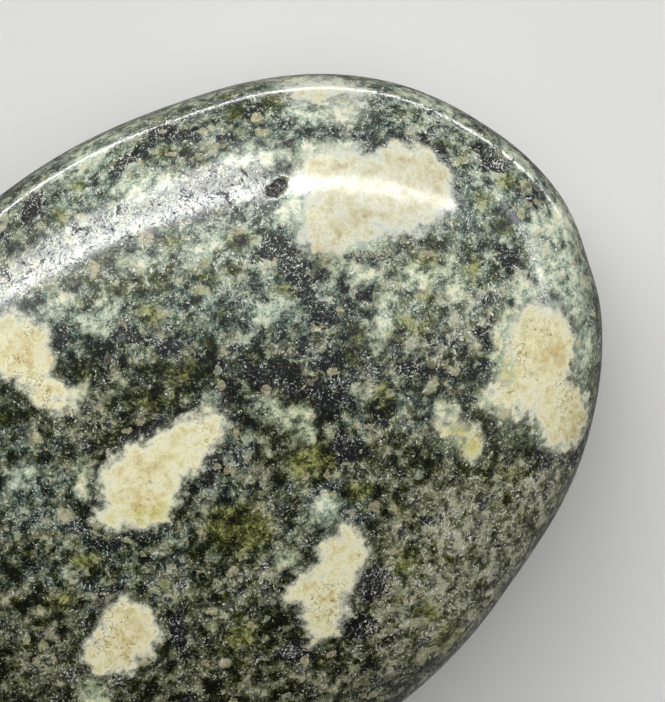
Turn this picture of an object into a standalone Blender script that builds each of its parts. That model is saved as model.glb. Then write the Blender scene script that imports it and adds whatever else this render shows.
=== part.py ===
"""Dolerite palm stone: one loose piece of spotted dolerite, ground and polished to a pillow shape.

Metres, +Z up. The origin is at the middle of the base, in the plane that the stone rests on.
+X runs along its long axis and +Z along its short one. The stone is one piece, so it is one solid.
"""

import math

import bmesh
import bpy
from mathutils import Matrix, Vector
from mathutils.bvhtree import BVHTree

# Driving dimensions
LENGTH = 0.064
WIDTH = 0.046
HEIGHT = 0.0215
RIM_HEIGHT = 0.0102  # the widest line, above the surface that the stone rests on
REST_LENGTH = 0.016  # the small flat spot under its middle, along the long axis

# Roundness: 2 gives an ellipse, and a larger power is squarer
PLAN_POWER = 2.05
SECTION_POWER = 2.2

# A hand-held stone comes off the wheel a little uneven: the crown sits off the middle, the widest line
# rises and falls twice round the stone, and the side keeps soft flats where it was pressed longest
CROWN_SHIFT = (-0.0012, 0.0007)
RIM_WOBBLE = 0.0003
RIM_WOBBLE_TURN = math.radians(35)

# Soft flats: direction round the stone and half-width in degrees, and depth as a share of the reach
SOFT_FLATS = (
    (-67, 9, 0.012),
    (-16, 6, 0.007),
    (14, 13, 0.012),
    (64, 12, 0.011),
    (112, 10, 0.006),
    (147, 14, 0.008),
    (-172, 9, 0.005),
    (-134, 15, 0.009),
    (-101, 8, 0.005),
)
SIDE_REACH = 8  # how soon a soft flat fades towards the faces

# One last touch of the wheel left a small crisp flat at the tip of the stone
TIP_FLAT_TURN = math.radians(-11.5)
TIP_FLAT_SLOPE = math.radians(12)
TIP_FLAT_DEPTH = 0.00012

# The one plucked grain that polishing has not reached: its place on the upper face, size and turn
PIT_PLACE = (0.0175, 0.01155)
PIT_LENGTH = 0.0014
PIT_WIDTH = 0.0008
PIT_DEPTH = 0.00022
PIT_TURN = math.radians(-8)
PIT_FINENESS = 3

# Fineness of the solid
SEGMENTS = 88
RINGS = 40

STONE_COLOUR = (0.085, 0.110, 0.080, 1)
STONE_ROUGHNESS = 0.28


def clear_scene():
    for obj in list(bpy.data.objects):
        bpy.data.objects.remove(obj, do_unlink=True)


def new_collection(name):
    collection = bpy.data.collections.new(name)
    bpy.context.scene.collection.children.link(collection)
    return collection


def new_object(name, bm, collection):
    """Turns a bmesh into an object of the same name, and frees the bmesh."""
    mesh = bpy.data.meshes.new(name)
    bm.to_mesh(mesh)
    bm.free()
    obj = bpy.data.objects.new(name, mesh)
    collection.objects.link(obj)
    return obj


def signed_power(value, power):
    return math.copysign(abs(value) ** power, value)


def rest_depth():
    """How much of the full pillow's underside the flat spot takes off."""
    share = REST_LENGTH / LENGTH
    kept = (1 - share**SECTION_POWER) ** (1 / SECTION_POWER)
    return RIM_HEIGHT * (1 - kept) / kept


def pressed_in(around, level):
    """The share of its reach that the side loses to the soft flats, in this direction."""
    loss = 0
    for direction, half_width, depth in SOFT_FLATS:
        turn = math.remainder(around - math.radians(direction), math.tau)
        loss += depth * math.exp(-((turn / math.radians(half_width)) ** 2))
    return loss * level**SIDE_REACH


def pillow_point(direction):
    """Where a point of the unit sphere goes on the stone: an oval plan and section, a little uneven."""
    level = math.hypot(direction.x, direction.y)
    around = math.atan2(direction.y, direction.x)
    reach = level ** (2 / SECTION_POWER) * (1 - pressed_in(around, level))
    rise = signed_power(direction.z, 2 / SECTION_POWER)
    depth = HEIGHT - RIM_HEIGHT if rise > 0 else RIM_HEIGHT + rest_depth()
    crown = max(rise, 0) ** 2
    wobble = RIM_WOBBLE * level**2 * math.sin(2 * (around - RIM_WOBBLE_TURN))
    return Vector((
        LENGTH / 2 * reach * signed_power(math.cos(around), 2 / PLAN_POWER) + CROWN_SHIFT[0] * crown,
        WIDTH / 2 * reach * signed_power(math.sin(around), 2 / PLAN_POWER) + CROWN_SHIFT[1] * crown,
        RIM_HEIGHT + depth * rise + wobble,
    ))


def grind_tip(bm):
    """Presses what stands beyond the tip flat's plane back onto it."""
    outward = Vector((
        math.cos(TIP_FLAT_TURN) * math.cos(TIP_FLAT_SLOPE),
        math.sin(TIP_FLAT_TURN) * math.cos(TIP_FLAT_SLOPE),
        math.sin(TIP_FLAT_SLOPE),
    ))
    plane = max(outward.dot(vert.co) for vert in bm.verts) - TIP_FLAT_DEPTH
    for vert in bm.verts:
        beyond = outward.dot(vert.co) - plane
        if beyond > 0:
            vert.co -= outward * beyond


def cut_rest_flat(bm):
    """Cuts the underside off at z = 0 and closes it with one flat face."""
    cut = bmesh.ops.bisect_plane(
        bm,
        geom=bm.verts[:] + bm.edges[:] + bm.faces[:],
        plane_co=(0, 0, 0),
        plane_no=(0, 0, -1),
        clear_outer=True,
    )
    border = [item for item in cut["geom_cut"] if isinstance(item, bmesh.types.BMEdge)]
    bmesh.ops.contextual_create(bm, geom=border)


def scale_to_size(bm):
    """Makes up for what grinding took off, so that the stone has its full length and width."""
    for axis, size in ((0, LENGTH), (1, WIDTH)):
        low = min(vert.co[axis] for vert in bm.verts)
        high = max(vert.co[axis] for vert in bm.verts)
        for vert in bm.verts:
            vert.co[axis] = (vert.co[axis] - (low + high) / 2) * size / (high - low)


def pebble_bmesh():
    """The ground and polished pebble, without its pit."""
    bm = bmesh.new()
    bmesh.ops.create_uvsphere(bm, u_segments=SEGMENTS, v_segments=RINGS, radius=1)
    for vert in bm.verts:
        vert.co = pillow_point(vert.co)
    grind_tip(bm)
    scale_to_size(bm)
    cut_rest_flat(bm)
    bmesh.ops.recalc_face_normals(bm, faces=bm.faces)
    return bm


def pit_cutter_bmesh(pebble):
    """An egg of the pit's size, half sunk in the upper face and lying along it."""
    above = Vector((*PIT_PLACE, 2 * HEIGHT))
    place, up, _, _ = BVHTree.FromBMesh(pebble).ray_cast(above, Vector((0, 0, -1)))
    lie = up.to_track_quat("Z", "Y").to_matrix().to_4x4()
    size = Matrix.Diagonal((PIT_LENGTH / 2, PIT_WIDTH / 2, PIT_DEPTH, 1))
    bm = bmesh.new()
    bmesh.ops.create_icosphere(bm, subdivisions=PIT_FINENESS, radius=1)
    bm.transform(Matrix.Translation(place) @ lie @ Matrix.Rotation(PIT_TURN, 4, "Z") @ size)
    return bm


def stone_material():
    material = bpy.data.materials.new("polished dolerite")
    material.use_nodes = True
    shader = material.node_tree.nodes["Principled BSDF"]
    shader.inputs["Base Color"].default_value = STONE_COLOUR
    shader.inputs["Roughness"].default_value = STONE_ROUGHNESS
    shader.inputs["Metallic"].default_value = 0
    return material


def main():
    clear_scene()
    pebble = pebble_bmesh()
    cutter = new_object("pit_cutter", pit_cutter_bmesh(pebble), new_collection("cutters"))
    cutter.hide_render = True
    cutter.display_type = "WIRE"
    stone = new_object("palm_stone", pebble, new_collection("dolerite palm stone"))
    stone.data.shade_smooth()
    stone.data.set_sharp_from_angle(angle=math.radians(30))
    stone.data.materials.append(stone_material())
    pit = stone.modifiers.new("plucked pit", "BOOLEAN")
    pit.operation = "DIFFERENCE"
    pit.solver = "EXACT"
    pit.object = cutter


main()
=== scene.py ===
# %% [markdown]
# # A spotted dolerite palm stone
# Dolerite is a dark, medium-grained rock. In the spotted kind the feldspar has gathered in cream to pale
# green clots the size of a pea, in a ground of green chlorite, olive epidote and black augite. This stone
# has been ground to a pillow shape and polished. The lesson builds its form with Geometry Nodes, places its
# clots and patches, and then makes one solid texture, so that the pattern runs round the stone as it does
# in rock.

# %% Load the fixed frame
import math
import random

import bpy
import numpy as np
from mathutils import Matrix, Vector
from mathutils.bvhtree import BVHTree


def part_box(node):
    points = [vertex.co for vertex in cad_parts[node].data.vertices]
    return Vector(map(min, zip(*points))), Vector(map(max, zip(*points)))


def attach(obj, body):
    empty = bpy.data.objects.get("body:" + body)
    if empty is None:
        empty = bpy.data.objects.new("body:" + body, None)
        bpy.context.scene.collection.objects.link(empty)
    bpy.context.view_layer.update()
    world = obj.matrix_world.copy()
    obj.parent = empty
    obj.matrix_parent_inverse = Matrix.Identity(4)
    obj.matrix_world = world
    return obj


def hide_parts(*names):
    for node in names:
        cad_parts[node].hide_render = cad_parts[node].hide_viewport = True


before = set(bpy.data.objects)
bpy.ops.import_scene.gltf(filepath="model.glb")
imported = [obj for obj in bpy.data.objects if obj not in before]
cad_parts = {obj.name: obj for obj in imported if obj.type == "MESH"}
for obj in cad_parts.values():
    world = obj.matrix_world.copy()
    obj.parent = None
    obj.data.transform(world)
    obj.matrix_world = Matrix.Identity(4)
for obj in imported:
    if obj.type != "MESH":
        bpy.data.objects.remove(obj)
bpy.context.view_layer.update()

STONE_NODE = "palm_stone"
low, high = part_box(STONE_NODE)
size = high - low
MM = 0.001
print("stone", " x ".join(f"{side / MM:.1f}" for side in size), "mm")

# %% [markdown]
# ## Node maths as Python expressions
# Long node trees are hard to read as lists of links. The class Wire wraps one output socket, and its
# operators add Math nodes, so that `1 - mask * 2` builds what it says. Bench adds every other node to a
# tree: it takes the node's type, its settings and what goes into its sockets.

# %% The wire and the bench
class Wire:
    """One output socket, which takes part in Python expressions."""

    def __init__(self, bench, socket):
        self.bench = bench
        self.socket = socket

    def __add__(self, other):
        return self.bench.math("ADD", self, other)

    def __radd__(self, other):
        return self.bench.math("ADD", other, self)

    def __sub__(self, other):
        return self.bench.math("SUBTRACT", self, other)

    def __rsub__(self, other):
        return self.bench.math("SUBTRACT", other, self)

    def __mul__(self, other):
        return self.bench.math("MULTIPLY", self, other)

    def __rmul__(self, other):
        return self.bench.math("MULTIPLY", other, self)

    def __truediv__(self, other):
        return self.bench.math("DIVIDE", self, other)

    def __pow__(self, other):
        return self.bench.math("POWER", self, other)

    def __neg__(self):
        return self.bench.math("MULTIPLY", self, -1)


class Bench:
    """Adds nodes to one tree, of a material or of Geometry Nodes."""

    def __init__(self, tree):
        self.tree = tree

    def node(self, kind, settings=None, inputs=None, output=0):
        """Adds a node, sets it, fills its sockets with values or wires, and returns one output."""
        node = self.tree.nodes.new(kind)
        for name, value in (settings or {}).items():
            if name == "stops":
                set_stops(node.color_ramp.elements, value)
            else:
                setattr(node, name, value)
        for key, value in (inputs or {}).items():
            self.plug(value, node.inputs[key])
        return Wire(self, node.outputs[output])

    def plug(self, value, socket):
        if isinstance(value, Wire):
            self.tree.links.new(value.socket, socket)
        else:
            socket.default_value = value

    def math(self, operation, *values):
        return self.node("ShaderNodeMath", {"operation": operation}, dict(enumerate(values)))

    def vector_math(self, operation, *values, output="Vector"):
        return self.node("ShaderNodeVectorMath", {"operation": operation}, dict(enumerate(values)), output)

    def split(self, vector):
        """The X, Y and Z of a vector."""
        node = self.node("ShaderNodeSeparateXYZ", None, {0: vector}).socket.node
        return [Wire(self, socket) for socket in node.outputs]

    def join(self, x, y, z):
        return self.node("ShaderNodeCombineXYZ", None, {0: x, 1: y, 2: z})

    def scaled(self, vector, factor):
        return self.node("ShaderNodeVectorMath", {"operation": "SCALE"}, {0: vector, "Scale": factor})

    def fade(self, value, start, end):
        """0 at start and 1 at end, with a soft S between. The start may be the larger."""
        flip = start > end
        settings = {"interpolation_type": "SMOOTHSTEP"}
        limits = {1: min(start, end), 2: max(start, end), 3: float(flip), 4: float(not flip)}
        return self.node("ShaderNodeMapRange", settings, {0: value, **limits})

    def blend(self, amount, first, second, mode="MIX"):
        """A colour between first, where amount is 0, and second, where it is 1."""
        settings = {"data_type": "RGBA", "blend_type": mode, "clamp_factor": True}
        return self.node("ShaderNodeMix", settings, {0: amount, 6: colour(first), 7: colour(second)}, 2)


def colour(value):
    """A colour of three numbers gets its fourth, and a wire stays as it is."""
    return value if isinstance(value, Wire) else (*value, 1)


def set_stops(elements, stops):
    """Gives a colour ramp its stops, which are pairs of position and colour. A new ramp has two already."""
    for index, (position, shade) in enumerate(stops):
        element = elements[index] if index < 2 else elements.new(position)
        element.position = position
        element.color = colour(shade)


# %% [markdown]
# ## The form of the stone
# The stone is a pillow: an oval plan with an oval section, a little squarer than a true ellipsoid. Grinding
# by hand leaves it slightly uneven, with soft flats round its side, a crisp little flat at its tip and a
# pit where one grain was plucked out. A sculpted mesh could show that, but its shape follows a rule, so
# Geometry Nodes make it from named sizes: the faces of a fine cube are blown up to a ball, and each point
# of the ball is moved by the rule. A cube gives even faces with no pole, and the sizes come from the frame.
# Round the pit the points are drawn together first, so that its small edge comes out sharp.

# %% Sizes and roundness of the form
RIM_HEIGHT = 10.2 * MM
REST_LENGTH = 16 * MM
PLAN_POWER = 2.05
SECTION_POWER = 2.2
CROWN_SHIFT = (-1.2 * MM, 0.7 * MM)
RIM_WOBBLE = 0.3 * MM
RIM_WOBBLE_TURN = math.radians(35)
SOFT_FLATS = (  # direction round the stone and half-width in degrees, and depth as a share of the reach
    (-67, 9, 0.012),
    (-16, 6, 0.007),
    (14, 13, 0.012),
    (64, 12, 0.011),
    (112, 10, 0.006),
    (147, 14, 0.008),
    (-172, 9, 0.005),
    (-134, 15, 0.009),
    (-101, 8, 0.005),
)
SIDE_REACH = 8
TIP_FLAT_TURN = math.radians(-11.5)
TIP_FLAT_SLOPE = math.radians(12)
TIP_FLAT_DEPTH = 0.12 * MM
PIT_PLACE = (17.5 * MM, 11.55 * MM)
PIT_SIZE = (1.4 * MM, 0.8 * MM)
PIT_DEPTH = 0.22 * MM
PIT_TURN = math.radians(-8)
PIT_SIDE = (1.15, 0.75)  # where the pit's side starts and where it ends, as shares of the pit's radii
PIT_RAGGED = 0.8
PIT_UNEVEN = 0.16 * MM
PIT_LUMPS_PER_MM = 3.5
POLISH_WAVES = ((0.16, 0.035 * MM), (0.45, 0.008 * MM))  # waves in a millimetre, and their depth
LEVEL_REACH = 0.6 * MM  # the relief fades in over this height, so that the flat spot stays flat
FACES_A_SIDE = 120
GATHER_REACH = 0.12  # on the ball, whose radius is 1
GATHER_PULL = 0.75
AIMING_ROUNDS = 20


def rest_depth():
    """How much of the full pillow's underside the flat spot takes off."""
    kept = (1 - (REST_LENGTH / size.x) ** SECTION_POWER) ** (1 / SECTION_POWER)
    return RIM_HEIGHT * (1 - kept) / kept


def ball_direction(x, y):
    """The direction on the ball that the rule carries to a place of the upper face, near enough."""
    rise = 1.0
    for _ in range(AIMING_ROUNDS):
        along = (x - CROWN_SHIFT[0] * rise ** 2) * 2 / size.x
        across = (y - CROWN_SHIFT[1] * rise ** 2) * 2 / size.y
        outward = Vector((along ** (PLAN_POWER / 2), across ** (PLAN_POWER / 2), 0))
        level = outward.length ** (SECTION_POWER / PLAN_POWER)
        up = math.sqrt(1 - level ** 2)
        rise = up ** (2 / SECTION_POWER)
    return outward.normalized() * level + Vector((0, 0, up))


pit_direction = ball_direction(*PIT_PLACE)
print(f"flat spot takes {rest_depth() / MM:.2f} mm off the underside")
print("the pit lies towards", [round(value, 3) for value in pit_direction])

# %% The rule that turns a ball into the pillow
def signed_power(bench, value, power):
    return bench.math("SIGN", value) * bench.math("ABSOLUTE", value) ** power


def pressed_in(bench, around, level):
    """The share of its reach that the side loses to the soft flats."""
    loss = 0
    for direction, half_width, depth in SOFT_FLATS:
        turn = bench.math("WRAP", around - math.radians(direction), math.pi, -math.pi)
        loss = bench.math("EXPONENT", -((turn / math.radians(half_width)) ** 2)) * depth + loss
    return loss * level ** SIDE_REACH


def gathered(bench, direction):
    """Draws the ball's points together where the small pit will be, so that it has enough of them."""
    gap = bench.vector_math("SUBTRACT", pit_direction, direction)
    away = bench.vector_math("LENGTH", gap, output="Value")
    pull = bench.math("EXPONENT", -((away / GATHER_REACH) ** 2)) * GATHER_PULL
    return bench.vector_math("NORMALIZE", bench.vector_math("ADD", direction, bench.scaled(gap, pull)))


def pillow_position(bench, sizes):
    """Where a point of the fine cube goes on the stone."""
    direction = bench.vector_math("NORMALIZE", bench.node("GeometryNodeInputPosition"))
    direction = gathered(bench, direction)
    x, y, z = bench.split(direction)
    outward = bench.join(x, y, 0.0)
    level = bench.vector_math("LENGTH", outward, output="Value")
    along, across, _ = bench.split(bench.vector_math("NORMALIZE", outward))
    around = bench.math("ARCTAN2", y, x)
    reach = level ** (2 / SECTION_POWER) * (1 - pressed_in(bench, around, level))
    rise = signed_power(bench, z, 2 / SECTION_POWER)
    up, down = sizes["Height"] - RIM_HEIGHT, RIM_HEIGHT + rest_depth()
    depth = bench.math("GREATER_THAN", z, 0.0) * (up - down) + down
    crown = bench.math("MAXIMUM", rise, 0.0) ** 2
    wobble = bench.math("SINE", (around - RIM_WOBBLE_TURN) * 2) * level ** 2 * RIM_WOBBLE
    return bench.join(
        signed_power(bench, along, 2 / PLAN_POWER) * reach * sizes["Length"] / 2 + crown * CROWN_SHIFT[0],
        signed_power(bench, across, 2 / PLAN_POWER) * reach * sizes["Width"] / 2 + crown * CROWN_SHIFT[1],
        depth * rise + wobble + RIM_HEIGHT,
    )


# %% What grinding, polishing and plucking do to the pillow
def move_to(bench, mesh, position):
    return bench.node("GeometryNodeSetPosition", None, {"Geometry": mesh, "Position": position})


def position_of(bench):
    return bench.node("GeometryNodeInputPosition")


def ground_tip(bench, mesh):
    """Presses what stands beyond the tip flat's plane back onto it."""
    outward = Vector((
        math.cos(TIP_FLAT_TURN) * math.cos(TIP_FLAT_SLOPE),
        math.sin(TIP_FLAT_TURN) * math.cos(TIP_FLAT_SLOPE),
        math.sin(TIP_FLAT_SLOPE),
    ))
    reach = bench.vector_math("DOT_PRODUCT", position_of(bench), outward, output="Value")
    farthest = bench.node("GeometryNodeAttributeStatistic", None, {"Geometry": mesh, 2: reach}, "Max")
    beyond = bench.math("MAXIMUM", reach - (farthest - TIP_FLAT_DEPTH), 0.0)
    pressed = bench.vector_math("SUBTRACT", position_of(bench), bench.scaled(outward, beyond))
    return move_to(bench, mesh, pressed)


def fitted_to_size(bench, mesh, sizes):
    """Gives back the length and width that grinding took off, and lays the underside flat at z = 0."""
    box = bench.node("GeometryNodeBoundBox", None, {"Geometry": mesh}).socket.node
    lowest = bench.split(Wire(bench, box.outputs["Min"]))
    highest = bench.split(Wire(bench, box.outputs["Max"]))
    x, y, z = bench.split(position_of(bench))
    placed = [
        (value - (lowest[axis] + highest[axis]) / 2) * sizes[name] / (highest[axis] - lowest[axis])
        for axis, (value, name) in enumerate(((x, "Length"), (y, "Width")))
    ]
    return move_to(bench, mesh, bench.join(*placed, bench.math("MAXIMUM", z, 0.0)))


def raised(bench, mesh, height):
    """Moves the surface out by height along its normal, except where it rests."""
    above = bench.fade(bench.split(position_of(bench))[2], 0.0, LEVEL_REACH)
    offset = bench.scaled(bench.node("GeometryNodeInputNormal"), height * above)
    return bench.node("GeometryNodeSetPosition", None, {"Geometry": mesh, "Offset": offset})


def polish_waves(bench):
    """The faint unevenness that a polished face keeps, which bends its reflections."""
    height = 0
    place = bench.scaled(position_of(bench), 1 / MM)
    for per_mm, depth in POLISH_WAVES:
        wave = bench.node("ShaderNodeTexNoise", None, {"Vector": place, "Scale": per_mm, "Detail": 1.0})
        height = (wave - 0.5) * 2 * depth + height
    return height


def pit_floor(bench):
    """The plucked pit: a steep-sided hollow with a rough floor, in the upper face only."""
    x, y, z = bench.split(position_of(bench))
    turn = Matrix.Rotation(-PIT_TURN, 2)
    dx, dy = x - PIT_PLACE[0], y - PIT_PLACE[1]
    along = (dx * turn[0][0] + dy * turn[0][1]) / (PIT_SIZE[0] / 2)
    across = (dx * turn[1][0] + dy * turn[1][1]) / (PIT_SIZE[1] / 2)
    away = bench.math("SQRT", along * along + across * across)
    place = bench.scaled(position_of(bench), 1 / MM)
    lumps = {"Vector": place, "Scale": PIT_LUMPS_PER_MM, "Detail": 2.0}
    lump = bench.node("ShaderNodeTexNoise", None, lumps) - 0.5
    inside = bench.fade(away + lump * PIT_RAGGED, *PIT_SIDE)
    inside = inside * bench.math("GREATER_THAN", z, RIM_HEIGHT)
    return inside * (lump * PIT_UNEVEN - PIT_DEPTH)


# %% The tree and the mesh that it makes
def stone_tree(material):
    tree = bpy.data.node_groups.new("palm stone form", "GeometryNodeTree")
    identifiers = {}
    for name in ("Length", "Width", "Height"):
        item = tree.interface.new_socket(name, in_out="INPUT", socket_type="NodeSocketFloat")
        identifiers[name] = item.identifier
    tree.interface.new_socket("Stone", in_out="OUTPUT", socket_type="NodeSocketGeometry")
    bench = Bench(tree)
    inlet = tree.nodes.new("NodeGroupInput")
    sizes = {name: Wire(bench, inlet.outputs[name]) for name in identifiers}
    counts = {"Vertices " + axis: FACES_A_SIDE + 1 for axis in "XYZ"}
    mesh = bench.node("GeometryNodeMeshCube", None, {"Size": (2, 2, 2), **counts})
    mesh = move_to(bench, mesh, pillow_position(bench, sizes))
    mesh = ground_tip(bench, mesh)
    mesh = fitted_to_size(bench, mesh, sizes)
    mesh = raised(bench, mesh, polish_waves(bench) + pit_floor(bench))
    mesh = bench.node("GeometryNodeSetShadeSmooth", None, {0: mesh})
    mesh = bench.node("GeometryNodeRealizeInstances", None, {0: mesh})
    mesh = bench.node("GeometryNodeSetMaterial", None, {"Geometry": mesh, "Material": material})
    bench.plug(mesh, tree.nodes.new("NodeGroupOutput").inputs[0])
    return tree, identifiers


def plain_mesh(name, tree, values):
    """Runs a tree on an empty object and keeps what it makes as a plain mesh object."""
    maker = bpy.data.objects.new(name + " maker", bpy.data.meshes.new(name + " maker"))
    bpy.context.scene.collection.objects.link(maker)
    modifier = maker.modifiers.new("form", "NODES")
    modifier.node_group = tree
    for identifier, value in values.items():
        modifier[identifier] = value
    made = maker.evaluated_get(bpy.context.evaluated_depsgraph_get())
    piece = bpy.data.objects.new(name, bpy.data.meshes.new_from_object(made))
    bpy.context.scene.collection.objects.link(piece)
    bpy.data.objects.remove(maker, do_unlink=True)
    return piece


dolerite = bpy.data.materials.new("polished spotted dolerite")
dolerite.use_nodes = True
tree, identifiers = stone_tree(dolerite)
sizes = {"Length": size.x, "Width": size.y, "Height": size.z}
stone = plain_mesh("polished_stone", tree, {identifiers[name]: value for name, value in sizes.items()})
points = np.empty(len(stone.data.vertices) * 3)
stone.data.vertices.foreach_get("co", points)
points = points.reshape(-1, 3) / MM
normals = np.empty(points.size)
stone.data.vertex_normals.foreach_get("vector", normals)
normals = normals.reshape(-1, 3)
low_corner, high_corner = points.min(0).round(2), points.max(0).round(2)
print(f"{len(stone.data.polygons) * 2} triangles, box {low_corner} to {high_corner} mm")

# %% [markdown]
# ## The camera
# The photograph looks down on the upper face from a little beyond the stone's far side, so that the far
# side's wall just shows. The long axis rises to the right in it, and the picture's left and lower edges cut
# the stone off. A long lens keeps the perspective slight. The camera comes before the markings, because
# they are placed by looking through it.

# %% The camera
PHOTO_WIDTH, PHOTO_HEIGHT = 665, 702
PHOTO_CENTRE = (192.7, 458.0)  # the pixel on which the middle of the stone lies
PHOTO_SCALE = 0.0711 * MM      # one pixel, at the stone's widest line
LONG_AXIS_TURN = math.radians(39.2)
LEAN = math.radians(8)
CAMERA_DISTANCE = 0.22
SENSOR = 36.0

to_right = Vector((math.cos(LONG_AXIS_TURN), -math.sin(LONG_AXIS_TURN), 0))
to_top = Vector((math.sin(LONG_AXIS_TURN), math.cos(LONG_AXIS_TURN), 0))
towards = (Vector((0, 0, math.cos(LEAN))) + to_top * math.sin(LEAN)).normalized()
picture_up = towards.cross(to_right)
aim = Vector((0, 0, RIM_HEIGHT))
aim += to_right * (PHOTO_WIDTH / 2 - PHOTO_CENTRE[0]) * PHOTO_SCALE
aim -= picture_up * (PHOTO_HEIGHT / 2 - PHOTO_CENTRE[1]) * PHOTO_SCALE
eye = aim + towards * CAMERA_DISTANCE

camera_data = bpy.data.cameras.new("camera")
camera_data.sensor_width = SENSOR
camera_data.lens = SENSOR * CAMERA_DISTANCE / (PHOTO_HEIGHT * PHOTO_SCALE)
camera_data.clip_start = 0.01
camera = bpy.data.objects.new("camera", camera_data)
bpy.context.scene.collection.objects.link(camera)
axes = Matrix((to_right, picture_up, towards)).transposed()
camera.matrix_world = Matrix.Translation(eye) @ axes.to_4x4()
bpy.context.scene.camera = camera
print(f"lens {camera_data.lens:.0f} mm, {CAMERA_DISTANCE:.2f} m away")
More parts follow.
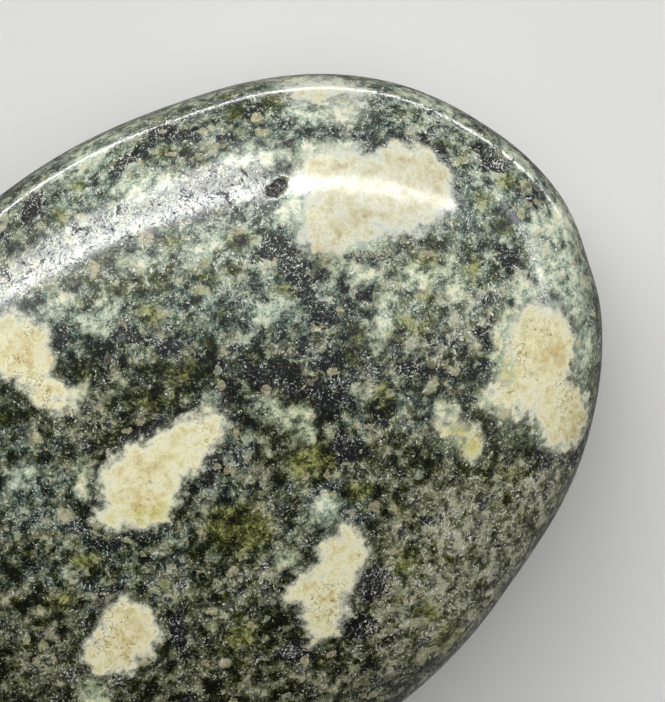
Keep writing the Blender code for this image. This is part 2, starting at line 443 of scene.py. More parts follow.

# %% [markdown]
# ## Where the markings lie
# In the rock a clot is a lump, and the polished face cuts through it. So each marking here is a few
# overlapping egg-shaped lobes, and the mesh keeps, for every point, how far it is from the nearest lobe of
# each kind. The material later roughens those smooth outlines. A picture could be projected instead, but it
# would smear down the sides. The lobes that the photograph shows are listed: pixel across and down,
# half-length and half-width in pixels, and turn in degrees. A ray through the pixel finds their place on
# the stone. Where the photograph doesn't reach, the same kinds are strewn with a fixed seed. Clot, pale,
# olive, dark and grain say what the rock is made of there, and the other kinds shift its tone. The bright
# kind is painted light on the seen face: it lightens the ground where the lamps light the stone most, on
# the upper shoulder, along the far rim and on the right flanks. Strewn out of sight it is only a lighter
# tone. The thin pale lobes along the far rim are painted light too.

# %% The clots and patches that the photograph shows
SEEN = {
    "clot": (
        (405, 188, 46, 44, 0), (360, 205, 46, 32, 12), (332, 226, 31, 22, 25), (328, 168, 26, 17, 15),
        (365, 180, 34, 22, 0), (540, 352, 36, 46, 0), (563, 417, 31, 31, 0), (512, 394, 20, 22, 0),
        (12, 345, 38, 30, -15), (48, 389, 26, 14, -38), (142, 485, 37, 40, 0), (178, 452, 34, 22, 40),
        (198, 434, 24, 13, 30), (120, 513, 20, 13, 25), (130, 630, 28, 29, 20), (113, 655, 24, 17, 15),
        (343, 558, 20, 31, -12), (312, 588, 23, 13, 15), (325, 612, 17, 26, -10), (322, 92, 32, 12, 0),
        (346, 111, 15, 12, 0), (455, 428, 12, 9, -20), (472, 447, 11, 10, 20),
    ),
    "pale": (
        (556, 240, 16, 24, 20), (572, 290, 10, 24, 0), (538, 226, 12, 14, 0), (420, 275, 16, 10, 0),
        # painted light: the thin lobes four pixels wide along the far rim, from (300, 79) to (520, 160),
        # lighten the far wall, which the lamps beyond the stone light brightly
        (300, 79, 40, 4, 0), (190, 100, 30, 4, 22), (90, 145, 30, 4, 25), (420, 96, 30, 4, -25),
        (520, 160, 20, 4, -45), (200, 250, 20, 9, 20), (140, 262, 18, 8, 20), (508, 340, 14, 26, 0),
        (60, 300, 18, 8, 20), (516, 328, 18, 20, 0), (506, 366, 14, 22, 0), (498, 398, 18, 14, -20),
        (585, 350, 9, 22, 0), (300, 196, 16, 26, 0), (360, 240, 40, 12, 12), (322, 152, 30, 10, 10),
        (300, 112, 14, 8, 0), (85, 163, 28, 11, 30), (145, 185, 30, 13, 5), (250, 155, 26, 12, 0),
        (86, 322, 25, 8, -10), (110, 309, 9, 15, 0), (268, 312, 20, 10, 15), (358, 272, 24, 10, -25),
        (383, 322, 9, 24, -20), (455, 280, 12, 20, 0), (524, 292, 15, 12, 0), (562, 212, 14, 26, 35),
        (266, 408, 14, 8, -20), (291, 417, 16, 9, 0), (305, 436, 10, 7, 20), (22, 477, 16, 10, 10),
        (84, 478, 7, 20, 0), (76, 393, 12, 8, 0), (210, 410, 8, 14, 0), (325, 508, 12, 18, -20),
        (287, 560, 12, 9, 0), (555, 265, 20, 26, 0), (448, 412, 14, 10, 0), (312, 118, 16, 10, 0),
        (285, 215, 14, 12, 0),
    ),
    "olive": (
        (240, 240, 14, 9, 0), (170, 240, 12, 8, 0), (100, 258, 13, 8, 20), (330, 262, 12, 9, 0),
        (385, 300, 14, 9, 0), (470, 268, 12, 14, 0), (285, 290, 14, 8, 0), (120, 290, 14, 8, 0),
        (505, 225, 9, 12, 30), (60, 215, 10, 9, 0), (275, 100, 12, 12, 0), (234, 113, 8, 9, 0),
        (45, 178, 6, 6, 0), (164, 153, 8, 6, 0), (76, 185, 9, 8, 0), (208, 276, 9, 7, 0),
        (160, 284, 9, 7, 0), (481, 200, 10, 10, 0), (425, 262, 16, 12, 0), (358, 335, 11, 10, 0),
        (412, 325, 20, 9, 0), (508, 180, 12, 10, 0), (312, 460, 28, 22, 0), (237, 530, 36, 26, -10),
        (385, 398, 13, 20, 10), (84, 562, 15, 10, 0), (240, 636, 18, 14, 0), (120, 435, 9, 8, 0),
        (405, 562, 13, 12, 0), (508, 472, 13, 8, 0), (446, 636, 18, 12, 30), (430, 612, 10, 12, 0),
        (150, 401, 20, 9, 0), (150, 314, 16, 12, 0), (185, 372, 24, 10, 0), (360, 492, 16, 10, 20),
        (60, 600, 18, 10, 20),
    ),
    "dark": (
        (168, 131, 20, 9, -10), (130, 159, 23, 7, 25), (224, 139, 8, 6, 0), (256, 109, 9, 8, 0),
        (291, 121, 11, 9, 0), (35, 205, 10, 20, 0), (62, 337, 13, 9, -30), (124, 336, 15, 11, 0),
        (107, 358, 6, 8, 0), (165, 346, 12, 8, 0), (425, 146, 18, 6, -25), (445, 166, 12, 5, -62),
        (345, 137, 26, 5, -5), (355, 290, 22, 6, -28), (322, 318, 13, 16, 0), (488, 335, 13, 12, 0),
        (487, 372, 11, 16, 0), (405, 368, 19, 8, 0), (330, 362, 14, 11, 0), (140, 433, 22, 9, 12),
        (108, 456, 12, 8, 40), (97, 485, 5, 22, 0), (128, 538, 27, 8, 5), (211, 460, 11, 28, -15),
        (183, 496, 9, 12, 0), (115, 594, 30, 5, 5), (178, 632, 9, 22, 0), (371, 583, 13, 18, -15),
        (356, 627, 20, 13, 0), (300, 384, 26, 10, 0), (384, 418, 12, 13, 0), (297, 652, 22, 8, 0),
        (560, 450, 27, 7, 10), (273, 248, 16, 13, 0), (298, 272, 12, 24, 30), (492, 160, 20, 14, -40),
        (540, 200, 18, 13, -50), (508, 258, 12, 12, 0), (581, 380, 4, 8, 0), (345, 450, 20, 14, 0),
        (270, 375, 26, 14, 0), (222, 395, 12, 16, 0), (330, 405, 18, 14, 0),
    ),
    "grain": (
        (455, 162, 5, 4, 0), (464, 158, 3, 3, 0), (411, 130, 7, 4, 30), (526, 187, 6, 8, 0),
        (521, 214, 4, 6, 0), (146, 238, 8, 7, 30), (83, 217, 8, 4, 0), (24, 196, 6, 5, 0),
        (257, 118, 6, 6, 0), (263, 132, 7, 4, 0), (205, 263, 5, 6, 0), (200, 290, 9, 5, 10),
        (340, 311, 4, 5, 0), (420, 297, 6, 5, 0), (430, 287, 3, 5, 0), (386, 284, 6, 5, 0),
        (476, 346, 8, 3, 0), (66, 516, 10, 7, 0), (36, 437, 9, 5, -40), (69, 431, 5, 4, 0),
        (396, 381, 3, 7, 20), (431, 387, 9, 5, 40), (352, 513, 5, 5, 0), (393, 509, 5, 6, 20),
        (225, 663, 7, 5, 0), (265, 639, 5, 4, 0), (422, 657, 5, 9, 0), (232, 572, 7, 5, 20),
        (85, 573, 6, 4, 0), (235, 432, 4, 5, 0), (247, 458, 4, 4, 0), (315, 474, 4, 4, 0),
    ),
    "green": (
        (90, 180, 110, 45, 25), (330, 125, 150, 55, 0), (260, 305, 190, 42, 0), (490, 205, 70, 90, 40),
        (560, 300, 45, 90, 0), (250, 230, 160, 40, 10), (50, 330, 90, 45, 0), (25, 480, 40, 40, 0),
        (330, 515, 26, 26, 0), (60, 575, 55, 10, 0), (215, 445, 25, 60, -15), (120, 540, 40, 8, 0),
        (395, 395, 40, 22, 0),
    ),
    # painted light: these lobes lighten the ground where the lamps light the stone most, on the upper
    # shoulder, along the far rim and on the right and lower right flanks
    "painted_light_and_lighter_tone": (
        (190, 262, 190, 40, 12), (450, 290, 70, 60, 0), (555, 255, 40, 50, 0), (500, 530, 70, 45, 50),
        (440, 600, 60, 40, 50), (110, 165, 130, 30, 27), (470, 140, 80, 30, -35),
        (460, 560, 110, 60, 50), (330, 92, 120, 26, 0), (140, 120, 90, 10, 22), (470, 118, 70, 10, -38),
        (580, 240, 12, 70, 12), (385, 198, 85, 62, 0),
    ),
    "mottled": (
        (508, 378, 16, 62, 0), (584, 345, 10, 50, 0), (540, 432, 18, 10, 0), (455, 437, 20, 16, 0),
        (340, 108, 30, 14, 0),
    ),
    "lemon": (
        (457, 431, 9, 6, -20), (471, 447, 11, 8, 20), (146, 512, 22, 8, 10), (508, 372, 6, 9, 0),
    ),
    "ochre": (
        (325, 247, 14, 7, 20), (432, 178, 16, 14, 0), (355, 216, 16, 9, 20), (143, 482, 8, 8, 0),
        (140, 506, 16, 9, 0), (553, 350, 12, 18, 0), (573, 424, 6, 16, 0), (118, 640, 8, 12, 0),
        (345, 545, 8, 10, 0), (312, 588, 7, 5, 0), (327, 600, 8, 8, 0), (25, 350, 20, 12, 0),
        (455, 428, 9, 6, 0), (470, 449, 9, 6, 20), (125, 655, 16, 6, 0),
    ),
}
print({kind: len(lobes) for kind, lobes in SEEN.items()})

# %% Lobes on the stone
surface = BVHTree.FromObject(stone, bpy.context.evaluated_depsgraph_get())
LOBE_DEPTH = 1.5   # how far a lobe reaches into the stone, as a share of its half-length
ADDED_DEPTH = 1.5  # and how much farther a lobe placed by sight reaches, in millimetres
FARTHEST = 20      # distances beyond this many millimetres count as this


def seen_lobe(across, down, half_length, half_width, turn):
    """A lobe in millimetres: its middle, its three axes and its three radii."""
    ray = to_right * (across - PHOTO_WIDTH / 2) - picture_up * (down - PHOTO_HEIGHT / 2)
    ray = ray * PHOTO_SCALE - towards * CAMERA_DISTANCE
    place, _, _, distance = surface.ray_cast(eye, ray.normalized())
    scale = PHOTO_SCALE / MM * distance / CAMERA_DISTANCE
    turn = math.radians(turn)
    first = to_right * math.cos(turn) + picture_up * math.sin(turn)
    radii = [half_length * scale, half_width * scale]
    radii.append(LOBE_DEPTH * max(radii) + ADDED_DEPTH)
    return place / MM, (first, towards.cross(first), towards), radii


def distance_to(lobe):
    """How far each point of the stone lies outside a lobe, in millimetres. It is negative inside."""
    place, directions, radii = lobe
    local = (points - np.array(place)) @ np.array(directions).T / np.array(radii)
    return (np.linalg.norm(local, axis=1) - 1) * min(radii)


def merged(distances, softness):
    """One smooth distance to the nearest of several lobes."""
    total = sum(np.exp(-np.clip(each, -FARTHEST, FARTHEST) / softness) for each in distances)
    return -softness * np.log(total)


lobes = {kind: [seen_lobe(*row) for row in rows] for kind, rows in SEEN.items()}
print(f"{sum(map(len, lobes.values()))} lobes placed by sight")

# %% Lobes strewn where the photograph doesn't reach
STREWN = {  # groups, the gap between two, shortest and longest reach in millimetres, lobes in a group
    "clot": (27, 8.5, 1.7, 3.4, 3),
    "pale": (60, 4.0, 0.7, 2.0, 1),
    "olive": (62, 3.6, 0.6, 2.2, 1),
    "dark": (90, 3.2, 0.6, 2.0, 1),
    "grain": (85, 2.4, 0.25, 0.6, 1),
    "green": (14, 8.0, 1.0, 2.2, 1),
    # strewn out of sight, the bright kind is only a lighter tone
    "painted_light_and_lighter_tone": (6, 14.0, 4.0, 8.0, 1),
    "mottled": (6, 8.0, 1.0, 3.0, 1),
    "lemon": (6, 6.0, 0.6, 1.2, 1),
    "ochre": (24, 5.0, 0.5, 1.1, 1),
}
STREWING_SEED = 41
MOST_TRIES = 4000
GROUP_SPREAD = (0.9, 0.6)  # how far a group's lobes lie from its middle, as shares of its reach
EDGE_OF_VIEW = 12          # pixels
LEAST_FACING = 0.1         # a surface that faces the camera less than this isn't well seen
SOFTNESS = {"clot": 0.35}  # how smoothly lobes flow into each other, in millimetres
OTHER_SOFTNESS = 0.2
FAR_FROM_PIT = 9.0


def in_photograph(place, normal):
    """Whether the photograph shows this point of the surface, place in metres."""
    ray = place - eye
    ahead = -ray.dot(towards) / CAMERA_DISTANCE * PHOTO_SCALE
    across = PHOTO_WIDTH / 2 + ray.dot(to_right) / ahead
    down = PHOTO_HEIGHT / 2 - ray.dot(picture_up) / ahead
    in_picture = across > -EDGE_OF_VIEW and down < PHOTO_HEIGHT - EDGE_OF_VIEW
    return normal.dot(towards) > LEAST_FACING and in_picture


def strewn_lobes(draw, count, gap, shortest, longest, pieces, taken):
    """Lobes at random places of the hidden surface, no two groups closer than gap."""
    found = []
    places = [Vector(place) for place, _, _ in taken]
    tries = 0
    while len(found) < count * pieces and tries < MOST_TRIES:
        tries += 1
        index = draw.randrange(len(points))
        place, normal = Vector(points[index]), Vector(normals[index])
        if in_photograph(place * MM, normal) or any((place - other).length < gap for other in places):
            continue
        places.append(place)
        reach = draw.uniform(shortest, longest)
        first = normal.orthogonal().normalized()
        first.rotate(Matrix.Rotation(draw.uniform(0, math.tau), 3, normal))
        second = normal.cross(first)
        for piece in range(pieces):
            shift = first * draw.uniform(-1, 1) * reach * GROUP_SPREAD[0]
            shift += second * draw.uniform(-1, 1) * reach * GROUP_SPREAD[1]
            length = reach * draw.uniform(0.6, 1.0)
            width = length * draw.uniform(0.5, 0.9)
            centre = place + (shift if piece else Vector())
            found.append((centre, (first, second, normal), [length, width, LOBE_DEPTH * length]))
    return found


def keep_on_stone(name, field):
    """Stores one number for every point of the stone, which the material reads by this name."""
    attribute = stone.data.attributes.new(name, "FLOAT", "POINT")
    attribute.data.foreach_set("value", field.astype(np.float32))


draw = random.Random(STREWING_SEED)
for kind, (count, gap, shortest, longest, pieces) in STREWN.items():
    near = lobes["clot"] if kind == "clot" else []
    hidden = strewn_lobes(draw, count, gap, shortest, longest, pieces, near)
    lobes[kind] = lobes[kind] + hidden
    softness = SOFTNESS.get(kind, OTHER_SOFTNESS)
    field = merged([distance_to(lobe) for lobe in lobes[kind]], softness)
    keep_on_stone(kind, field)
    print(f"{kind}: {len(lobes[kind])} lobes cover {(field < 0).mean():.0%} of the points")

local = (points[:, :2] - np.array(PIT_PLACE) / MM) @ np.array(Matrix.Rotation(PIT_TURN, 2))
from_pit = np.linalg.norm(local / (np.array(PIT_SIZE) / 2 / MM), axis=1) - 1
from_pit[points[:, 2] < RIM_HEIGHT / MM] = FAR_FROM_PIT
keep_on_stone("pit", from_pit)
print(f"{(from_pit < 0).sum()} points lie in the pit")

# %% [markdown]
# ## The rock's ground
# Between the clots the rock is a felt of small crystals: black augite, green chlorite, olive epidote and
# grey-green feldspar. Colour and brightness change in soft clouds, half a millimetre to two millimetres
# across. Over them lies the fine grain of each crystal, and it runs its own way in each one. So a slow
# noise makes the clouds, cells make the crystals, and a quick noise is stretched in each cell along a
# direction that the cell draws. One noise gives three numbers where three are needed, which keeps the
# render quick.

# %% The texture's own tools
rock = Bench(dolerite.node_tree)
shader = dolerite.node_tree.nodes["Principled BSDF"]
place = rock.scaled(rock.node("ShaderNodeTexCoord", None, None, "Object"), 1 / MM)


def noise_vector(where, shift, per_mm, detail, roughness):
    """Three soft noises about 0 in one vector, each for the most part between -0.3 and 0.3."""
    where = rock.vector_math("ADD", where, shift)
    inputs = {"Vector": where, "Scale": per_mm, "Detail": detail, "Roughness": roughness}
    three = rock.node("ShaderNodeTexNoise", None, inputs, "Color")
    return rock.vector_math("SUBTRACT", three, (0.5, 0.5, 0.5))


def single_noise(shift, per_mm, detail, roughness):
    """One soft noise about 0, which costs a third of three."""
    where = rock.vector_math("ADD", place, shift)
    inputs = {"Vector": where, "Scale": per_mm, "Detail": detail, "Roughness": roughness}
    return rock.node("ShaderNodeTexNoise", None, inputs) - 0.5


def ramp(value, *stops):
    """A colour that changes with value, through pairs of position and colour."""
    return rock.node("ShaderNodeValToRGB", {"stops": stops}, {0: value})


def mark(kind):
    """How far this place is outside the lobes of one kind, in millimetres."""
    return rock.node("ShaderNodeAttribute", {"attribute_name": kind}, None, "Fac")


def count_nodes(step):
    print(f"{step}: {len(rock.tree.nodes)} nodes so far")


# %% Clouds, crystals and their grain
CLOUDS_PER_MM = 1.1
DRIFT_PER_MM = 0.33
CRYSTALS_PER_MM = 1.9
GRAIN_PER_MM = 6.0
STRETCH = 0.66  # the share of a length that is left out along a crystal's own direction
FRAY = 0.8      # how far the clouds push the crystals' edges about, in millimetres

clouds = noise_vector(place, (3.1, 47.3, 8.9), CLOUDS_PER_MM, 3.0, 0.62)
cloud, other_cloud, third_cloud = rock.split(clouds)
drift = single_noise((31.7, 17.3, 53.9), DRIFT_PER_MM, 2.0, 0.6)
frayed = rock.vector_math("ADD", place, rock.scaled(clouds, FRAY))
cell = rock.node("ShaderNodeTexVoronoi", None, {"Vector": frayed, "Scale": CRYSTALS_PER_MM}, "Color")
run = rock.vector_math("NORMALIZE", rock.vector_math("SUBTRACT", cell, (0.5, 0.5, 0.5)))
along = rock.vector_math("DOT_PRODUCT", place, run, output="Value")
streaked = rock.vector_math("SUBTRACT", place, rock.scaled(run, along * STRETCH))
grit, flake, spark = rock.split(noise_vector(streaked, (23.7, 5.3, 61.9), GRAIN_PER_MM, 2.0, 0.88))
chance, hue, shade = rock.split(cell)
count_nodes("clouds, crystals and grain")

# %% [markdown]
# ## Where the marks shift the ground
# The marks don't paint over the felt. They shift its lightness, so that dark crystals get more common in
# a dark patch and round a clot, where the rock was starved of feldspar, and rare in a pale patch. Noise is
# added to the distance first, which makes every outline ragged. In a mottled part the noise is stronger and
# eats islands out of the clot, and pale feldspar fills them.

# %% Reach of each kind of mark
mottled = rock.fade(mark("mottled"), 0.6, -0.8)
clot_edge = mark("clot") + cloud * 1.8 + third_cloud * 1.2 + flake * 0.7
clot_edge = clot_edge + mottled * (0.45 + cloud * 3.0 - other_cloud * 1.5)
halo = rock.fade(clot_edge, 1.5, 0.25) * rock.fade(drift + other_cloud, -0.16, 0.06)
dark = rock.fade(mark("dark") + other_cloud * 1.9 + flake * 0.4, 0.30, -0.40)
pale = rock.fade(mark("pale") + third_cloud * 2.2 + flake * 0.5, 0.45, -0.40)
pale = rock.math("MAXIMUM", pale, mottled * 0.7)
olive = rock.fade(mark("olive") + cloud * 1.9 + flake * 0.5, 0.45, -0.60) * 0.9
stray_olive = rock.fade(cloud * 0.8 - other_cloud * 0.7 - drift * 0.4 + flake * 0.1, 0.05, 0.14)
olive = rock.math("MAXIMUM", olive, stray_olive * 0.85)
# the bright kind is painted light on the seen face, for the stronger light on the shoulder, far rim and
# right flanks; strewn out of sight it is a lighter tone
painted_light_and_lighter_tone = rock.fade(mark("painted_light_and_lighter_tone") * 0.5 + third_cloud * 2.0, 1.0, -1.0)
greener = mark("green") * 0.14 - third_cloud * 2.2 + other_cloud * 1.2 + grit * 0.3
greener = rock.fade(greener, 0.36, -0.40)
count_nodes("reach of the marks")

# %% [markdown]
# ## Four families of mineral
# Chlorite and feldspar are green, weathered ground is olive brown, epidote is a clear olive, and augite is
# black; its points of light are painted glints at the light end of its ramp. One ramp gives each its shades
# from dark to light. The numbers beside the noises say how much each of them counts, and were found by
# looking at renders beside the photograph.

# %% Shades of the ground
lightness = 0.386 + other_cloud * 2.10 + drift * 1.15 + grit * 1.65 + flake * 0.8 + shade * 0.14
# painted light: the bright kind lightens the ground
lightness = lightness + painted_light_and_lighter_tone * 0.20 - dark * 0.34 - halo * 0.30
chlorite = ramp(
    lightness + 0.02,
    (0.14, (0.002, 0.004, 0.003)),
    (0.32, (0.016, 0.028, 0.022)),
    (0.50, (0.072, 0.106, 0.080)),
    (0.70, (0.178, 0.238, 0.184)),
    (0.95, (0.470, 0.545, 0.430)),
)
brown_olive = ramp(
    lightness,
    (0.14, (0.003, 0.004, 0.002)),
    (0.32, (0.020, 0.023, 0.012)),
    (0.50, (0.078, 0.086, 0.044)),
    (0.70, (0.165, 0.170, 0.102)),
    (0.95, (0.390, 0.390, 0.270)),
)
epidote = ramp(
    lightness,
    (0.12, (0.004, 0.005, 0.002)),
    (0.36, (0.026, 0.030, 0.006)),
    (0.60, (0.095, 0.103, 0.020)),
    (0.95, (0.310, 0.320, 0.110)),
)
# the light end of this ramp paints glints: grey-white points of light in the black augite
augite_and_painted_glints = ramp(
    0.28 + grit * 3.2 + flake * 1.4 + drift * 0.5 + shade * 0.12 - dark * 0.06,
    (0.22, (0.002, 0.002, 0.002)),
    (0.42, (0.014, 0.015, 0.014)),
    (0.58, (0.048, 0.052, 0.048)),
    (0.74, (0.150, 0.155, 0.147)),
    (0.98, (0.540, 0.540, 0.500)),
)
augite_and_painted_glints = rock.blend(greener, augite_and_painted_glints, (0.90, 1.0, 0.96), "MULTIPLY")
ground = rock.blend(greener, brown_olive, chlorite)
ground = rock.blend(olive, ground, epidote)
black_patch = third_cloud * 1.3 + cloud * 0.6 + drift * 0.6 + (hue - 0.5) * 0.25
black_patch = rock.fade(black_patch + dark * 0.5 - olive * 0.3 + grit * 0.3, 0.04, 0.30)
ground = rock.blend(black_patch, ground, augite_and_painted_glints)
count_nodes("shades of the ground")

# %% Pale feldspar in clouds
feldspar = ramp(
    0.56 + cloud * 2.3 + flake * 1.1 + grit * 0.9 - mark("pale") * 0.10,
    (0.12, (0.030, 0.040, 0.028)),
    (0.32, (0.125, 0.155, 0.104)),
    (0.52, (0.305, 0.388, 0.292)),
    (0.68, (0.462, 0.530, 0.410)),
    (0.86, (0.700, 0.690, 0.520)),
)
CREAMIER = (1.08, 1.02, 0.84)
creamier = rock.vector_math("MULTIPLY", feldspar, CREAMIER)
olive_part = rock.fade(mark("green") * 0.14 + other_cloud * 1.2, -0.30, 0.40)
feldspar = rock.blend(olive_part * 0.9, feldspar, creamier)
ground = rock.blend(pale, ground, feldspar)
count_nodes("pale feldspar")

# %% [markdown]
# ## Grains and points of light
# Here and there one crystal is altered feldspar, tan or yellow green, with an angular outline: the same
# cells choose it. Cleavage faces catch the light as short bright flecks; these are painted glints, put into
# the colour at the peaks of the stretched noise. Some crystals show more of them than others, so that they
# gather in swarms, and there are more of them where the bright kind paints light.

# %% Grains and flecks
in_grain = rock.fade(chance, 0.95, 0.96) * 0.7
in_grain = rock.math("MAXIMUM", in_grain, rock.fade(mark("grain") + flake * 0.4, 0.08, -0.06))
grain_shade = ramp(
    hue,
    (0.00, (0.430, 0.360, 0.230)),
    (0.35, (0.500, 0.460, 0.280)),
    (0.60, (0.300, 0.330, 0.140)),
    (0.80, (0.420, 0.470, 0.360)),
    (1.00, (0.180, 0.140, 0.070)),
)
ground = rock.blend(in_grain * (0.66 + grit * 2.2), ground, grain_shade)

# painted glints: bright flecks put into the colour, more of them where the bright kind paints light
PAINTED_GLINT_COLOUR = (0.740, 0.730, 0.640)
painted_glint = spark - olive * 0.08 + painted_light_and_lighter_tone * 0.05 + (shade - 0.5) * 0.13 + cloud * 0.10
painted_glint = rock.fade(painted_glint, 0.142, 0.190)
ground = rock.blend(painted_glint * 0.80, ground, PAINTED_GLINT_COLOUR)
count_nodes("grains and flecks")

# %% [markdown]
# ## The clots
# A clot's heart is cream feldspar with ochre stains and hairline cracks. Towards its edge it turns whiter
# and then pale green, and frays into the ground. Epidote tints a few spots lemon. Where the bright kind
# lays painted light on the shoulder of the stone, the clots get painted shade instead: greyer and darker
# than the others. Their cracks are fainter there.

# %% Clots
OCHRE = (0.500, 0.340, 0.105)
SPECK_COLOUR = (0.300, 0.290, 0.160)
MILKY_COLOUR = (0.700, 0.700, 0.560)
CRACK_COLOUR = (0.190, 0.120, 0.050)
LEMON = (0.500, 0.470, 0.130)
CLOT_PAINTED_SHADE = (0.77, 0.80, 0.92)

ochre = rock.fade(mark("ochre") + other_cloud * 2.0, 0.50, -0.80)
depth_in_clot = rock.math("MAXIMUM", clot_edge * 0.42, -0.24)
clot_shade = ramp(
    depth_in_clot + other_cloud * 1.2 + grit * 0.25 + shade * 0.04 + 0.58,
    (0.08, (0.500, 0.420, 0.215)),
    (0.30, (0.650, 0.595, 0.345)),
    (0.48, (0.740, 0.705, 0.470)),
    (0.62, (0.660, 0.655, 0.505)),
    (0.74, (0.500, 0.520, 0.395)),
    (0.88, (0.190, 0.205, 0.130)),
)
clot_shade = rock.blend(ochre * (0.42 - cloud * 1.8), clot_shade, OCHRE)
speck = rock.fade(grit + flake * 0.4, -0.02, -0.26)
clot_shade = rock.blend(speck * 0.45, clot_shade, SPECK_COLOUR)
milky = rock.fade(third_cloud + flake * 0.3, 0.05, 0.25)
clot_shade = rock.blend(milky * 0.35, clot_shade, MILKY_COLOUR)
crack = rock.fade(rock.math("ABSOLUTE", cloud + third_cloud * 0.5), 0.025, 0.0)
crack = crack * rock.fade(drift, -0.02, 0.06)
# the cracks fade where the bright kind paints light
clot_shade = rock.blend(crack * (0.8 - painted_light_and_lighter_tone * 0.65), clot_shade, CRACK_COLOUR)
lemon = rock.fade(mark("lemon") + cloud * 1.8 + flake * 0.3, 0.7, -0.8)
clot_shade = rock.blend(lemon * 0.75, clot_shade, LEMON)
# painted shade: clots under the bright kind are made greyer and darker, which tones them down where the
# lamps light the shoulder most
clot_with_painted_shade = rock.vector_math("MULTIPLY", clot_shade, CLOT_PAINTED_SHADE)
clot_shade = rock.blend(painted_light_and_lighter_tone, clot_shade, clot_with_painted_shade)
clot = rock.fade(clot_edge, 0.68, -0.14)
surface_colour = rock.blend(clot, ground, clot_shade)
count_nodes("clots")

# %% [markdown]
# ## Gloss and relief
# The wheel leaves chlorite and feldspar bright, but black augite plucks and stays dull in specks. The pit
# was never polished: it is dark and rough. A clot is a little softer than the ground and shines less.

# %% Gloss and relief
POLISHED_ROUGHNESS = 0.26
PLUCKED_ROUGHNESS = 0.25  # what a plucked speck adds
PIT_ROUGHNESS = 0.4       # what the pit adds
RELIEF_PER_MM = 5.5
RELIEF_DEPTH = 0.018 * MM
POLISH = {"Coat Roughness": 0.12, "Coat IOR": 1.65, "IOR": 1.55, "Specular IOR Level": 0.4}

in_pit = rock.fade(mark("pit") + flake * 0.5, 0.15, -0.10)
# the light end of this ramp paints glints in the pit's dark floor
pit_colour_and_painted_glints = ramp(
    0.40 + spark * 2.2 + grit,
    (0.15, (0.008, 0.006, 0.006)),
    (0.50, (0.045, 0.038, 0.036)),
    (0.90, (0.560, 0.560, 0.520)),
)
surface_colour = rock.blend(in_pit, surface_colour, pit_colour_and_painted_glints)
in_clot = rock.fade(clot_edge, 0.2, -0.3)
plucked = rock.fade(grit + flake * 0.5 - black_patch * 0.16, -0.02, -0.16)
plucked = (1 - in_clot) * (1 - pale * 0.45) * plucked
quick = single_noise((41.3, 12.7, 3.9), RELIEF_PER_MM, 1.0, 0.8)
relief = (1 - in_clot * 0.8) * quick
bump = rock.node("ShaderNodeBump", None, {"Strength": 0.4, "Distance": RELIEF_DEPTH, "Height": relief})
roughness = POLISHED_ROUGHNESS + plucked * PLUCKED_ROUGHNESS + in_pit * PIT_ROUGHNESS
coat = (1 - plucked * 0.95) * (1 - in_clot * 0.55) * (1 - in_pit)
finish = {"Base Color": surface_colour, "Roughness": roughness, "Normal": bump, "Coat Weight": coat}
for name, value in {**finish, **POLISH}.items():
    rock.plug(value, shader.inputs[name])
count_nodes("gloss and relief")

# %% [markdown]
# ## The studio
# The stone lies on a pale floor under soft lamps. A long tube and a wide panel hang beyond the top edge of
# the picture and draw the bright band across the shoulder of the stone, and a tube at the side lights its
# right flank. Two fills, from above and from the lower right, are left out of the reflections. A polished
# dark stone mirrors its surroundings, and a pale floor would veil it. So reflections see dim surroundings
# in place of the floor, with one narrow bright strip that draws the thin line along the far rim. The
# camera itself sees a plain pale backdrop.

# %% Floor and surroundings
FLOOR_REACH = 1.0
PAPER_COLOUR = (0.64, 0.635, 0.62)
floor_mesh = bpy.data.meshes.new("floor")
corners = [(-FLOOR_REACH, -FLOOR_REACH, 0), (FLOOR_REACH, -FLOOR_REACH, 0)]
corners += [(FLOOR_REACH, FLOOR_REACH, 0), (-FLOOR_REACH, FLOOR_REACH, 0)]
floor_mesh.from_pydata(corners, [], [(0, 1, 2, 3)])
floor = bpy.data.objects.new("floor", floor_mesh)
bpy.context.scene.collection.objects.link(floor)
paper = bpy.data.materials.new("pale paper")
paper.use_nodes = True
paper_shader = paper.node_tree.nodes["Principled BSDF"]
paper_shader.inputs["Base Color"].default_value = colour(PAPER_COLOUR)
paper_shader.inputs["Roughness"].default_value = 0.9
floor_mesh.materials.append(paper)
floor.visible_glossy = False

world = bpy.data.worlds.new("studio")
bpy.context.scene.world = world
world.use_nodes = True
sky = Bench(world.node_tree)
background = world.node_tree.nodes["Background"]
LIT_SIDE_COLOUR = (0.30, 0.31, 0.32)
DIM_LOW_COLOUR = (0.16, 0.16, 0.16)
DIM_HIGH_COLOUR = (0.012, 0.012, 0.012)
BELOW_COLOUR = (0.13, 0.13, 0.128)
RIM_LIGHT_COLOUR = (13.0, 13.0, 13.0)
BACKDROP_LOW_COLOUR = (0.45, 0.447, 0.438)
BACKDROP_HIGH_COLOUR = (0.72, 0.715, 0.70)
RIM_LIGHT_HEIGHT = -math.sin(math.radians(28))
RIM_LIGHT_REACH = 0.030

lit_side = (to_top * 0.9 + to_right * 0.45).normalized()
direction = sky.node("ShaderNodeTexCoord", None, None, "Generated")
towards_light = sky.vector_math("DOT_PRODUCT", direction, lit_side, output="Value")
height = sky.split(direction)[2]
dim_side = sky.blend(sky.fade(height, 0.0, 0.35), DIM_LOW_COLOUR, DIM_HIGH_COLOUR)
sky_colour = sky.blend(sky.fade(towards_light, 0.02, 0.22), dim_side, LIT_SIDE_COLOUR)

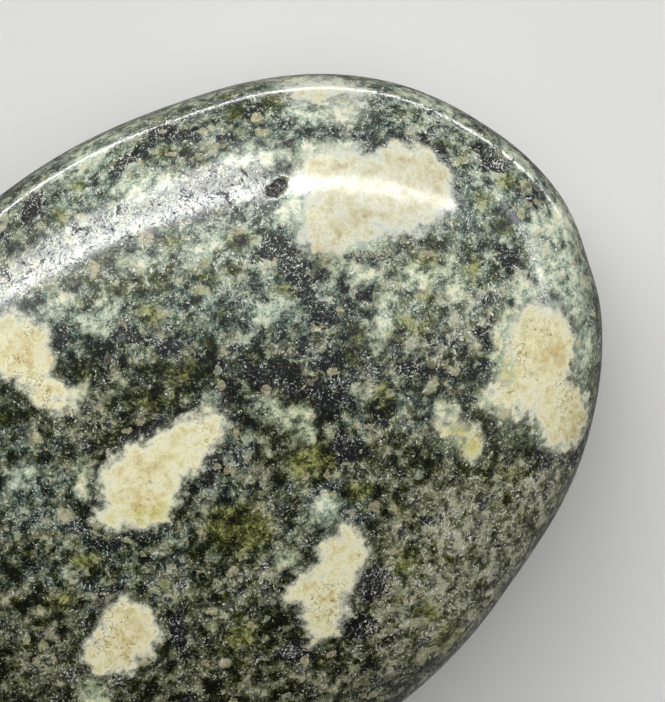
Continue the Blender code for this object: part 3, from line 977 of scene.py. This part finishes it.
beyond_top = sky.vector_math("DOT_PRODUCT", direction, to_top, output="Value")
from_line = sky.math("ABSOLUTE", height - RIM_LIGHT_HEIGHT)
rim_light = sky.fade(from_line, RIM_LIGHT_REACH, 0.4 * RIM_LIGHT_REACH) * sky.fade(beyond_top, 0.2, 0.6)
below = sky.blend(rim_light, BELOW_COLOUR, RIM_LIGHT_COLOUR)
sky_colour = sky.blend(sky.math("LESS_THAN", height, 0.0), sky_colour, below)
seen = sky.node("ShaderNodeLightPath", None, None, "Is Camera Ray")
# the backdrop is darker low down: painted shade that carries on the floor's fading far from the lamps
backdrop = sky.blend(sky.fade(height, -0.05, 0.30), BACKDROP_LOW_COLOUR, BACKDROP_HIGH_COLOUR)
sky.plug(sky.blend(seen, sky_colour, backdrop), background.inputs["Color"])
print(f"floor {2 * FLOOR_REACH:.0f} m wide, {len(sky.tree.nodes)} nodes in the surroundings")

# %% Lamps
LAMPS = {  # metres to the right, to the picture's top and up, then length, width and radiance
    "long tube": (-0.075, 0.50, 0.60, 1.30, 0.07, 12.0),
    "side tube": (1.26, 0.50, 0.52, 0.80, 0.10, 4.0),
    "wide panel": (-0.66, 0.74, 0.63, 1.20, 0.26, 5.8),
    "overhead fill": (0.15, 0.35, 1.20, 1.5, 1.5, 1.42),
    "flank fill": (1.00, -0.75, 0.22, 0.9, 0.5, 2.0),
}


def lamp(name, right, top, up, length, width, radiance):
    """A soft rectangular lamp beyond the picture's edges, turned to the stone, its length level."""
    data = bpy.data.lights.new(name, "AREA")
    data.shape = "RECTANGLE"
    data.size, data.size_y = length, width
    data.energy = radiance * math.pi * length * width
    obj = bpy.data.objects.new(name, data)
    bpy.context.scene.collection.objects.link(obj)
    place = aim + to_right * right + to_top * top + Vector((0, 0, up))
    facing = (place - aim).normalized()
    side = Vector((0, 0, 1)).cross(facing).normalized()
    if side.dot(to_right) < 0:
        side = -side
    if abs(right) < abs(top):
        # a lamp beyond the top edge lies along the picture and isn't turned sideways
        side = to_right
        facing = (to_top * top + Vector((0, 0, up))).normalized()
    axes = Matrix((side, facing.cross(side), facing)).transposed()
    obj.matrix_world = Matrix.Translation(place) @ axes.to_4x4()
    return obj


for name, settings in LAMPS.items():
    lamp(name, *settings).visible_glossy = not name.endswith("fill")
bpy.context.scene.view_settings.view_transform = "Standard"
print("lamps:", ", ".join(LAMPS))

# %% Hand over
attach(stone, "root")
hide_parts(STONE_NODE)
